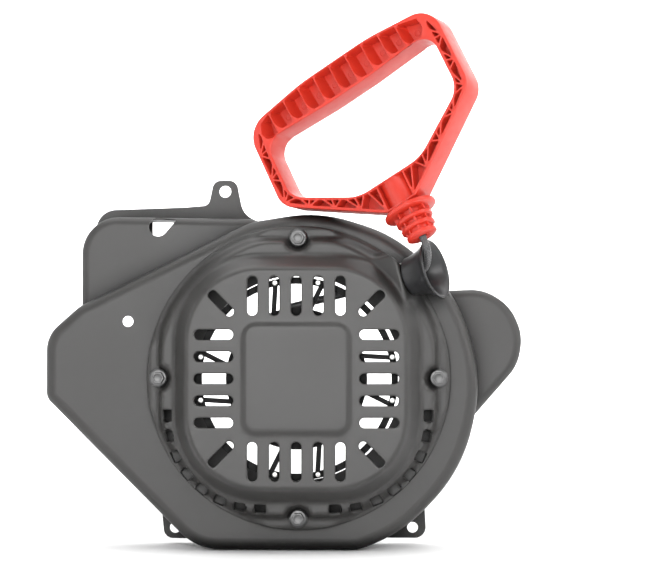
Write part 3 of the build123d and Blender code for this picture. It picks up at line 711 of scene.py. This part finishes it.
# ---- rope ----------------------------------------------------------------------------------------
def rope_points():
    """The rope's route, from inside the guide to its knot in the handle."""
    run_end = GUIDE - ROPE_AXIS * 9
    return [run_end + ROPE_AXIS * 1.6, GUIDE + ROPE_AXIS * 5, Vector((84.3, -81.5, 72.3)),
            Vector((85.5, -89.3, 80.0)), NOSE - STEM * 4, NOSE + STEM * 28.6]


def nurbs_path(name, points, steps=24):
    """Points read off a NURBS curve through the rope's route."""
    line = bpy.data.curves.new(name, "CURVE")
    line.dimensions = "3D"
    line.resolution_u = steps
    spline = line.splines.new("NURBS")
    spline.points.add(len(points) - 1)
    for spot, point in zip(spline.points, points):
        spot.co = (*(point * MM), 1)
    spline.order_u = 3
    spline.use_endpoint_u = True
    holder = bpy.data.objects.new(name, line)
    bpy.context.scene.collection.objects.link(holder)
    bpy.context.view_layer.update()
    graph = bpy.context.evaluated_depsgraph_get()
    mesh = bpy.data.meshes.new_from_object(holder.evaluated_get(graph))
    path = [v.co.copy() for v in mesh.vertices]
    bpy.data.meshes.remove(mesh)
    bpy.data.objects.remove(holder)
    bpy.data.curves.remove(line)
    return path


def resampled(path, spacing):
    """The path with evenly spaced points, and its length."""
    path = np.array([tuple(p) for p in path])
    steps = np.linalg.norm(np.diff(path, axis=0), axis=1)
    total = np.concatenate([[0], np.cumsum(steps)])
    count = max(2, int(total[-1] / spacing))
    at = np.linspace(0, total[-1], count + 1)
    even = [Vector([float(np.interp(a, total, path[:, axis])) for axis in range(3)]) for a in at]
    return even, float(total[-1])


def frames_along(path):
    """A steady cross-section frame at each point of a path."""
    last = len(path) - 1
    tangents = [(path[min(i + 1, last)] - path[max(i - 1, 0)]).normalized() for i in range(len(path))]
    side = tangents[0].cross(UP).normalized()
    frames = []
    for tangent in tangents:
        side = (side - tangent * side.dot(tangent)).normalized()
        frames.append((side, tangent.cross(side)))
    return frames


def braid(path, radius, carriers=6, lay=0.013, strand=0.00085):
    """Strands woven over and under round a core, as one set of tubes."""
    path, total = resampled(path, 0.0006)
    frames = frames_along(path)
    vertices, faces = [], []
    around = 6

    def tube(centres, width):
        start = len(vertices)
        sides = frames_along(centres)
        for centre, (first, second) in zip(centres, sides):
            for step in range(around):
                turn = 2 * math.pi * step / around
                vertices.append(centre + first * math.cos(turn) * width + second * math.sin(turn) * width)
        for row in range(len(centres) - 1):
            for step in range(around):
                wrap = (step + 1) % around
                base = start + row * around
                faces.append((base + step, base + wrap, base + around + wrap, base + around + step))
        faces.append(tuple(start + step for step in range(around)))
        faces.append(tuple(start + (len(centres) - 1) * around + step for step in range(around)))

    tube(path, radius - strand * 1.25)
    for way in (1, -1):
        for carrier in range(carriers):
            centres = []
            for index, (point, (first, second)) in enumerate(zip(path, frames)):
                along = total * index / (len(path) - 1)
                turn = way * 2 * math.pi * along / lay + 2 * math.pi * carrier / carriers
                weave = 2 * math.pi * along / lay * carriers / 2 + math.pi * carrier
                lift = 0.30 * strand * math.sin(weave) * way
                reach = radius - strand * 1.12 + lift
                centres.append(point + first * math.cos(turn) * reach + second * math.sin(turn) * reach)
            tube(centres, strand)
    return vertices, faces


def build_rope():
    """The braided rope from the guide into the handle."""
    radius = settings().rope_diameter / 2
    path = nurbs_path("rope_route", rope_points())
    vertices, faces = braid(path, radius)
    rope = piece("rope_lead_braid", vertices, faces, "rope", 60)
    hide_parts("rope_lead")
    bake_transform(rope, "housing", "handle", start=tuple(GUIDE * MM + ROPE_AXIS * 0.004),
             end=tuple((NOSE - STEM * 4) * MM))
    return rope


# ---- pressed and turned pieces ----------------------------------------------------------------------
def rounded_box_gap(x, z, half_x, half_z, corner):
    """Signed distance to a rounded rectangle centred on the axis."""
    qx, qz = np.abs(x) - (half_x - corner), np.abs(z) - (half_z - corner)
    return np.hypot(np.maximum(qx, 0), np.maximum(qz, 0)) + np.minimum(np.maximum(qx, qz), 0) - corner


def outlet_front(x, z):
    """How far forward the box-shaped rope outlet reaches at each place; very low where it isn't."""
    second = ROPE_AXIS.cross(Vector((0, 0, 1))).normalized()
    third = ROPE_AXIS.cross(second)
    enter, leave = np.full_like(x, NOWHERE), np.full_like(x, -NOWHERE)
    for axis, low, high in ((ROPE_AXIS, -OUTLET_REACH, 0), (second, -OUTLET_HALF_DEPTH, OUTLET_HALF_DEPTH),
                            (third, -OUTLET_HALF_WIDTH, OUTLET_HALF_WIDTH)):
        offset = (x - GUIDE.x) * axis.x + (z - GUIDE.z) * axis.z
        lean = axis.y if abs(axis.y) > 1e-6 else 1e-6
        first, last = (low - offset) / lean, (high - offset) / lean
        near, far = np.minimum(first, last), np.maximum(first, last)
        enter, leave = np.maximum(enter, near), np.minimum(leave, far)
    return np.where(enter < leave, -(GUIDE.y + enter), NOWHERE)


def cover_form(x, z):
    """Height of the cover's outside before its press radii are rolled."""
    r = np.hypot(x, z)
    slope = FACE + (SLOPE_RADIUS - r) * (SHELF - FACE) / (SLOPE_RADIUS - SHELF_RADIUS)
    form = np.where(r < SHELF_RADIUS, SHELF, np.where(r < FLANGE_RADIUS, slope, FLANGE))
    for turn in QUARTERS:
        c, s = math.cos(math.radians(turn)), math.sin(math.radians(turn))
        p, t = x * c + z * s, np.abs(-x * s + z * c)
        tapered = EAR_HALF - (p - EAR_SHOULDER) * EAR_NARROWING / EAR_TAPER
        ear = (p > EAR_INNER) & (p < EAR_OUTER) & (t < np.where(p < EAR_SHOULDER, EAR_HALF, tapered))
        ear |= (np.hypot(p - BOLT_CIRCLE, t) < EAR_BOSS) & (p < EAR_OUTER)
        form = np.where((p > EAR_INNER) & (t < EAR_HALF), np.minimum(form, FLANGE), form)
        form = np.where(ear, EAR, form)
    gap = rounded_box_gap(x, z, PLATE_HALF, PLATE_HALF, PLATE_CORNER)
    wall = PLATE - (PLATE - SHELF) * np.clip(gap / WALL_RUN, 0, 1)
    form = np.where(gap < WALL_RUN, np.maximum(form, wall), form)
    form = np.maximum(form, outlet_front(x, z))
    pad = rounded_box_gap(x, z, PAD_WIDTH / 2, PAD_DEPTH / 2, PAD_CORNER)
    return form + PAD_RISE * np.clip(-pad / PAD_EDGE, 0, 1)


def rolled_form(form, half, step, soften):
    """The form with rolled edges, as a function that can be read anywhere."""
    ticks = np.arange(-half, half + step / 2, step)
    x, z = np.meshgrid(ticks, ticks, indexing="ij")
    table = form(x, z)
    reach = int(3 * soften / step)
    weights = np.exp(-0.5 * (np.arange(-reach, reach + 1) * step / soften) ** 2)
    weights /= weights.sum()
    for axis in (0, 1):
        padded = np.pad(table, [(reach, reach) if a == axis else (0, 0) for a in (0, 1)], "edge")
        table = sum(w * np.take(padded, np.arange(k, k + table.shape[axis]), axis=axis)
                    for k, w in enumerate(weights))

    def read(px, pz):
        u = np.clip((np.asarray(px) + half) / step, 0, len(ticks) - 1.001)
        v = np.clip((np.asarray(pz) + half) / step, 0, len(ticks) - 1.001)
        i, j = u.astype(int), v.astype(int)
        fu, fv = u - i, v - j
        return ((table[i, j] * (1 - fu) + table[i + 1, j] * fu) * (1 - fv)
                + (table[i, j + 1] * (1 - fu) + table[i + 1, j + 1] * fu) * fv)

    return read


def turned_loop(loop, centre, degrees):
    """A loop turned about its own origin and set down at a centre."""
    c, s = math.cos(math.radians(degrees)), math.sin(math.radians(degrees))
    return np.stack([centre[0] + loop[:, 0] * c - loop[:, 1] * s,
                     centre[1] + loop[:, 0] * s + loop[:, 1] * c], axis=1)


def rounded_rectangle(width, depth, corner, step=0.6):
    """Outline of a rounded rectangle; a corner near half its width makes a slot or a circle."""
    w, d = width / 2, depth / 2
    return rounded([(-w, -d), (w, -d), (w, d), (-w, d)], [corner] * 4, step)


def cover_holes():
    """Outlines of the vent slots, small windows and bolt holes."""
    holes = []
    slot = rounded_rectangle(*SLOT, 3.29)
    corner_slot = rounded_rectangle(*CORNER_SLOT, 2.99)
    window = rounded_rectangle(*WINDOW, 0.8)
    bolt_hole = rounded_rectangle(BOLT_HOLE, BOLT_HOLE, 3.39)
    for side in QUARTERS:
        c, s = math.cos(math.radians(side)), math.sin(math.radians(side))
        for row in (-2, -1, 0, 1, 2):
            across = row * SLOT_PITCH
            spot = (SLOT_RADIUS * c - across * s, SLOT_RADIUS * s + across * c)
            holes.append(turned_loop(slot, spot, side))
        angle = math.radians(side + 45)
        spot = (CORNER_SLOT_RADIUS * math.cos(angle), CORNER_SLOT_RADIUS * math.sin(angle))
        holes.append(turned_loop(corner_slot, spot, side + 45))
        holes.append(turned_loop(bolt_hole, (BOLT_CIRCLE * c, BOLT_CIRCLE * s), 0))
    straight, arc = WINDOW_HALF - WINDOW_CORNER, math.pi / 2 * WINDOW_CORNER
    first, last = WINDOW_FIRST, 2 * straight + arc - WINDOW_FIRST
    for index in range(WINDOWS):
        way = first + (last - first) * index / (WINDOWS - 1)
        if way < straight:
            spot, turn = (-WINDOW_HALF, -way), 0
        elif way < straight + arc:
            angle = (way - straight) / WINDOW_CORNER
            spot = (-straight - WINDOW_CORNER * math.cos(angle), -straight - WINDOW_CORNER * math.sin(angle))
            turn = math.degrees(angle)
        else:
            spot, turn = (-straight + way - straight - arc, -WINDOW_HALF), 90
        for mirror in (1, -1):
            holes.append(turned_loop(window, (mirror * spot[0], spot[1]), mirror * turn))
    return [clean_loop(hole) for hole in holes]


def pressed_sheet(name, form, outline, holes, points, thickness, slot, sharp=46, edge_roll=0.5):
    """A pressed sheet from its form: rolled punched edges, real thickness and closed rims."""
    rings = []
    for loop, sign in [(outline, -1)] + [(hole, 1) for hole in holes]:
        for distance, drop in ((0, 1.0), (0.15, 0.45), (0.45, 0.08), (0.95, 0.0)):
            moved = moved_out(loop, sign * distance) if distance else loop
            heights = form(moved[:, 0], moved[:, 1]) - drop * edge_roll
            rings.append((moved, list(heights)))
    spacing = 0.7
    seen, kept = set(), []
    for ring, _ in rings:
        for x, z in ring:
            seen.add((int(x // spacing), int(z // spacing)))
    for x, z in points:
        cell = (int(x // spacing), int(z // spacing))
        if cell not in seen:
            seen.add(cell)
            kept.append((x, z))
    kept = np.array(kept)
    levels = form(kept[:, 0], kept[:, 1])
    flat, level, faces = relief(rings, outline, holes, [(x, z, h) for (x, z), h in zip(kept, levels)])
    step = 0.25
    slope_x = (form(flat[:, 0] + step, flat[:, 1]) - form(flat[:, 0] - step, flat[:, 1])) / (2 * step)
    slope_z = (form(flat[:, 0], flat[:, 1] + step) - form(flat[:, 0], flat[:, 1] - step)) / (2 * step)
    size = np.sqrt(1 + slope_x ** 2 + slope_z ** 2)
    count = len(flat)
    outer = [(x * MM, -h * MM, z * MM) for (x, z), h in zip(flat, level)]
    inner = [((x + thickness * sx / q) * MM, -(h - thickness / q) * MM, (z + thickness * sz / q) * MM)
             for (x, z), h, sx, sz, q in zip(flat, level, slope_x, slope_z, size)]
    seen_edges = {}
    for face in faces:
        for a, b in zip(face, face[1:] + face[:1]):
            key = (min(a, b), max(a, b))
            seen_edges[key] = seen_edges.get(key, 0) + 1
    sheets = [tuple(face) for face in faces] + [tuple(i + count for i in face) for face in faces]
    sheets += [(a, b, b + count, a + count) for (a, b), uses in seen_edges.items() if uses == 1]
    return piece(name, outer + inner, sheets, slot, sharp, "housing")


def cover_points():
    """Where the cover's triangles need corners: close along its bends and outlet, and wide elsewhere."""
    points = []
    for radius in np.arange(86.5, 100, 0.85):
        for angle in np.arange(0, 2 * math.pi, 1.5 / radius):
            points.append((radius * math.cos(angle), radius * math.sin(angle)))
    for grow in np.arange(-3.2, 12.4, 0.8):
        half, corner = PLATE_HALF + grow, PLATE_CORNER + grow
        for x, z in rounded_rectangle(2 * half, 2 * half, corner, 1.5):
            points.append((x, z))
        for side in QUARTERS:
            c, s = math.cos(math.radians(side)), math.sin(math.radians(side))
            for at in np.arange(-(half - corner), half - corner, 1.5):
                points.append((half * c - at * s, half * s + at * c))
    pad_x, pad_z = PAD_WIDTH / 2, PAD_DEPTH / 2
    straight = pad_z - PAD_CORNER
    for grow in np.arange(-3.0, 2.2, 0.7):
        for x, z in rounded_rectangle(PAD_WIDTH + 2 * grow, PAD_DEPTH + 2 * grow, PAD_CORNER + grow, 1.2):
            points.append((x, z))
        for at in np.arange(-straight, straight, 1.4):
            points += [(pad_x + grow, at), (-pad_x - grow, at), (at, pad_z + grow), (at, -pad_z - grow)]
    for x in np.arange(38, 92, 1.0):
        for z in np.arange(36, 84, 1.0):
            if x * 0.96 + z * 0.29 > 62 and math.hypot(x, z) < 99:
                points.append((x, z))
    for x in np.arange(-99, 99, 2.6):
        for z in np.arange(-99, 99, 2.6):
            if math.hypot(x, z) < SLOPE_RADIUS:
                points.append((x, z))
    return points


def build_cover():
    """The pressed cover: raised plate and pad, slots, windows, ears and rope outlet."""
    form = rolled_form(cover_form, 106, 0.4, 1.25)
    outline = clean_loop(rounded_rectangle(2 * COVER_RADIUS, 2 * COVER_RADIUS, 100.4, 1.5))
    holes, points = cover_holes(), cover_points()
    cover = pressed_sheet("cover_pressing", form, outline, holes, points, SHEET, "cover_paint")
    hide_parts("recoil_cover")
    return cover


def build_bolts():
    """Flange bolts with eased edges."""
    return softened("cover_bolts", "flange_bolts", "black_bolt", "housing", 0.00035, 2)


def build_cup():
    """The bell-mouthed rope guide with its rolled lip."""
    base, flare, depth, wall, neck = 12.5, 7.0, 19.0, 1.8, 8.5
    bell = []
    for share in np.linspace(0, 1, 18):
        bell.append((base + flare * share ** 1.9, depth * share))
    outer = [(neck, -7.0), (neck, -0.3), (8.9, 0.0), (11.6, 0.0), (12.3, 0.4)] + bell[1:-1]
    lip = [(19.5, 18.2), (19.8, 18.8), (19.6, 19.5), (18.9, 19.8), (18.2, 19.5), (17.7, 18.8)]
    inner = [(r - wall, a + 0.4) for r, a in reversed(bell[2:-1])]
    profile = outer + lip + inner + [(7.0, 2.6), (4.6, 1.2), (3.6, 0.0), (3.4, -2.0), (3.4, -7.0)]
    vertices, faces = lathe(GUIDE, ROPE_AXIS, profile, 112)
    cup = piece("rope_guide_bell", vertices, faces, "guide_plastic", 45, "housing")
    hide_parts("rope_guide_cup")
    return cup


def dress_frame():
    """Every CAD node that stays visible takes its slot's material."""
    slots = {part["node"]: part["material_slot"] for part in frame["record"]["subparts"]}
    for name, node in frame["nodes"].items():
        if name in slots:
            node.data.materials.clear()
            node.data.materials.append(finish_for(slots[name]))


# ---- stage ---------------------------------------------------------------------------------------
def build_camera():
    """A long lens from the front, a little to the right and just below the aim."""
    s = settings()
    view_width = 0.429
    aim = Vector((17.8, -66.0, 58.4)) * MM
    side, up = math.radians(2.0), math.radians(-1.2)
    back = Vector((math.sin(side) * math.cos(up), -math.cos(side) * math.cos(up), math.sin(up)))
    lens = bpy.data.cameras.new("Camera")
    camera = bpy.data.objects.new("Camera", lens)
    bpy.context.scene.collection.objects.link(camera)
    camera.location = aim + back * s.camera_distance
    camera.rotation_euler = (-back).to_track_quat("-Z", "Y").to_euler()
    lens.sensor_width = 36
    lens.lens = lens.sensor_width * s.camera_distance / view_width
    lens.dof.use_dof = False
    lens.clip_start, lens.clip_end = 0.01, 20
    bpy.context.scene.camera = camera
    return camera


def light(name, place, aim, size, power):
    """A soft box that lights the object but is not seen by the camera."""
    lamp = bpy.data.lights.new(name, "AREA")
    lamp.shape = "RECTANGLE"
    lamp.size, lamp.size_y = size
    lamp.energy = power
    made = bpy.data.objects.new(name, lamp)
    made.location = place
    made.rotation_euler = (Vector(aim) - Vector(place)).to_track_quat("-Z", "Y").to_euler()
    made.visible_camera = False
    bpy.context.scene.collection.objects.link(made)


def build_stage():
    """Round pale floor with a rising rim, a soft world and soft boxes."""
    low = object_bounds()[0].z - 0.0006
    flat_radius, rise = 3.6, 1.2
    quarter = np.linspace(0, math.pi / 2, 13)
    rim = [(flat_radius + rise * math.sin(turn), rise - rise * math.cos(turn)) for turn in quarter]
    vertices, faces, steps = [], [], 72
    for radius, height in [(0.9, 0.0), (2.2, 0.0), *rim, (flat_radius + rise, 3.6)]:
        for step in range(steps):
            turn = 2 * math.pi * step / steps
            vertices.append((radius * math.cos(turn), radius * math.sin(turn), low + height))
    faces.append(tuple(range(steps)))
    for row in range(len(rim) + 2):
        base, above = row * steps, (row + 1) * steps
        for step in range(steps):
            wrap = (step + 1) % steps
            faces.append((base + wrap, base + step, above + step, above + wrap))
    mesh = bpy.data.meshes.new("studio_floor")
    mesh.from_pydata(vertices, [], faces)
    mesh.polygons.foreach_set("use_smooth", [True] * len(mesh.polygons))
    floor = bpy.data.objects.new("studio_floor", mesh)
    bpy.context.scene.collection.objects.link(floor)
    nodes, made, links, shader, where = surface("StudioFloor", settings().floor, 0.8, spec=0.2)
    if nodes is not None:
        grain = noise(nodes, links, where, 14, 3)
        base = settings().floor
        links.new(blend_colours(nodes, links, grain, lighter(base, 0.985), lighter(base, 1.0)),
                  shader.inputs["Base Color"])
    mesh.materials.append(made)
    floor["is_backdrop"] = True
    world = bpy.data.worlds.new("Studio")
    world.use_nodes = True
    world.node_tree.nodes["Background"].inputs["Color"].default_value = (1, 1, 1, 1)
    world.node_tree.nodes["Background"].inputs["Strength"].default_value = 0.30
    scene = bpy.context.scene
    scene.world = world
    light("Front", (-0.12, -2.3, 0.42), (0, 0, 0.03), (1.5, 1.2), 34)
    light("Left", (-1.5, -0.7, 0.7), (0, 0, 0.05), (0.7, 1.4), 2)
    light("Right", (1.35, -0.55, 0.75), (0.05, 0, 0.05), (0.5, 1.2), 9)
    light("Above", (0, 0.3, 3.3), (0, 0.3, 0), (4.5, 4.5), 150)
    light("Wall", (0, 2.2, 2.2), (0, 4.8, 0.5), (4.0, 0.8), 210)
    scene.view_settings.view_transform = "Standard"
    scene.view_settings.look = "None"


# ---- operators -------------------------------------------------------------------------------------
class STARTER_OT_stage(bpy.types.Operator):
    """Camera, floor, world and lights"""
    bl_idname = "starter.stage"
    bl_label = "Stage"

    def execute(self, context):
        build_camera()
        build_stage()
        return {"FINISHED"}


class STARTER_OT_rope(bpy.types.Operator):
    """Braided pull rope between guide and handle"""
    bl_idname = "starter.rope"
    bl_label = "Rope"

    def execute(self, context):
        build_rope()
        return {"FINISHED"}


class STARTER_OT_frame(bpy.types.Operator):
    """Finishes for the CAD pieces that stay"""
    bl_idname = "starter.frame"
    bl_label = "Frame finishes"

    def execute(self, context):
        dress_frame()
        return {"FINISHED"}


class STARTER_OT_cover(bpy.types.Operator):
    """Pressed cover"""
    bl_idname = "starter.cover"
    bl_label = "Cover"

    def execute(self, context):
        build_cover()
        return {"FINISHED"}


class STARTER_OT_bolts(bpy.types.Operator):
    """Four flange bolts"""
    bl_idname = "starter.bolts"
    bl_label = "Bolts"

    def execute(self, context):
        build_bolts()
        return {"FINISHED"}


class STARTER_OT_cup(bpy.types.Operator):
    """Rope guide"""
    bl_idname = "starter.cup"
    bl_label = "Rope guide"

    def execute(self, context):
        build_cup()
        return {"FINISHED"}


class STARTER_OT_handle(bpy.types.Operator):
    """Pull handle"""
    bl_idname = "starter.handle"
    bl_label = "Handle"

    def execute(self, context):
        build_handle()
        return {"FINISHED"}


OPERATORS = (STARTER_OT_stage, STARTER_OT_rope, STARTER_OT_frame, STARTER_OT_cover, STARTER_OT_bolts,
             STARTER_OT_cup, STARTER_OT_handle)


class STARTER_PT_panel(bpy.types.Panel):
    """Sidebar panel with one button per piece"""
    bl_idname = "STARTER_PT_panel"
    bl_label = "Recoil starter"
    bl_space_type = "VIEW_3D"
    bl_region_type = "UI"
    bl_category = "Recoil starter"

    def draw(self, context):
        for operator in OPERATORS:
            self.layout.operator(operator.bl_idname)
        for name in StarterSettings.__annotations__:
            self.layout.prop(context.scene.starter_settings, name)


CLASSES = (StarterSettings, *OPERATORS, STARTER_PT_panel)


def register():
    for item in CLASSES:
        bpy.utils.register_class(item)
    bpy.types.Scene.starter_settings = PointerProperty(type=StarterSettings)


def unregister():
    del bpy.types.Scene.starter_settings
    for item in reversed(CLASSES):
        bpy.utils.unregister_class(item)


def main():
    """Builds every piece in order."""
    register()
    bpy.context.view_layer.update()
    for operator in OPERATORS:
        group, name = operator.bl_idname.split(".")
        getattr(getattr(bpy.ops, group), name)()


if __name__ == "__main__":
    main()
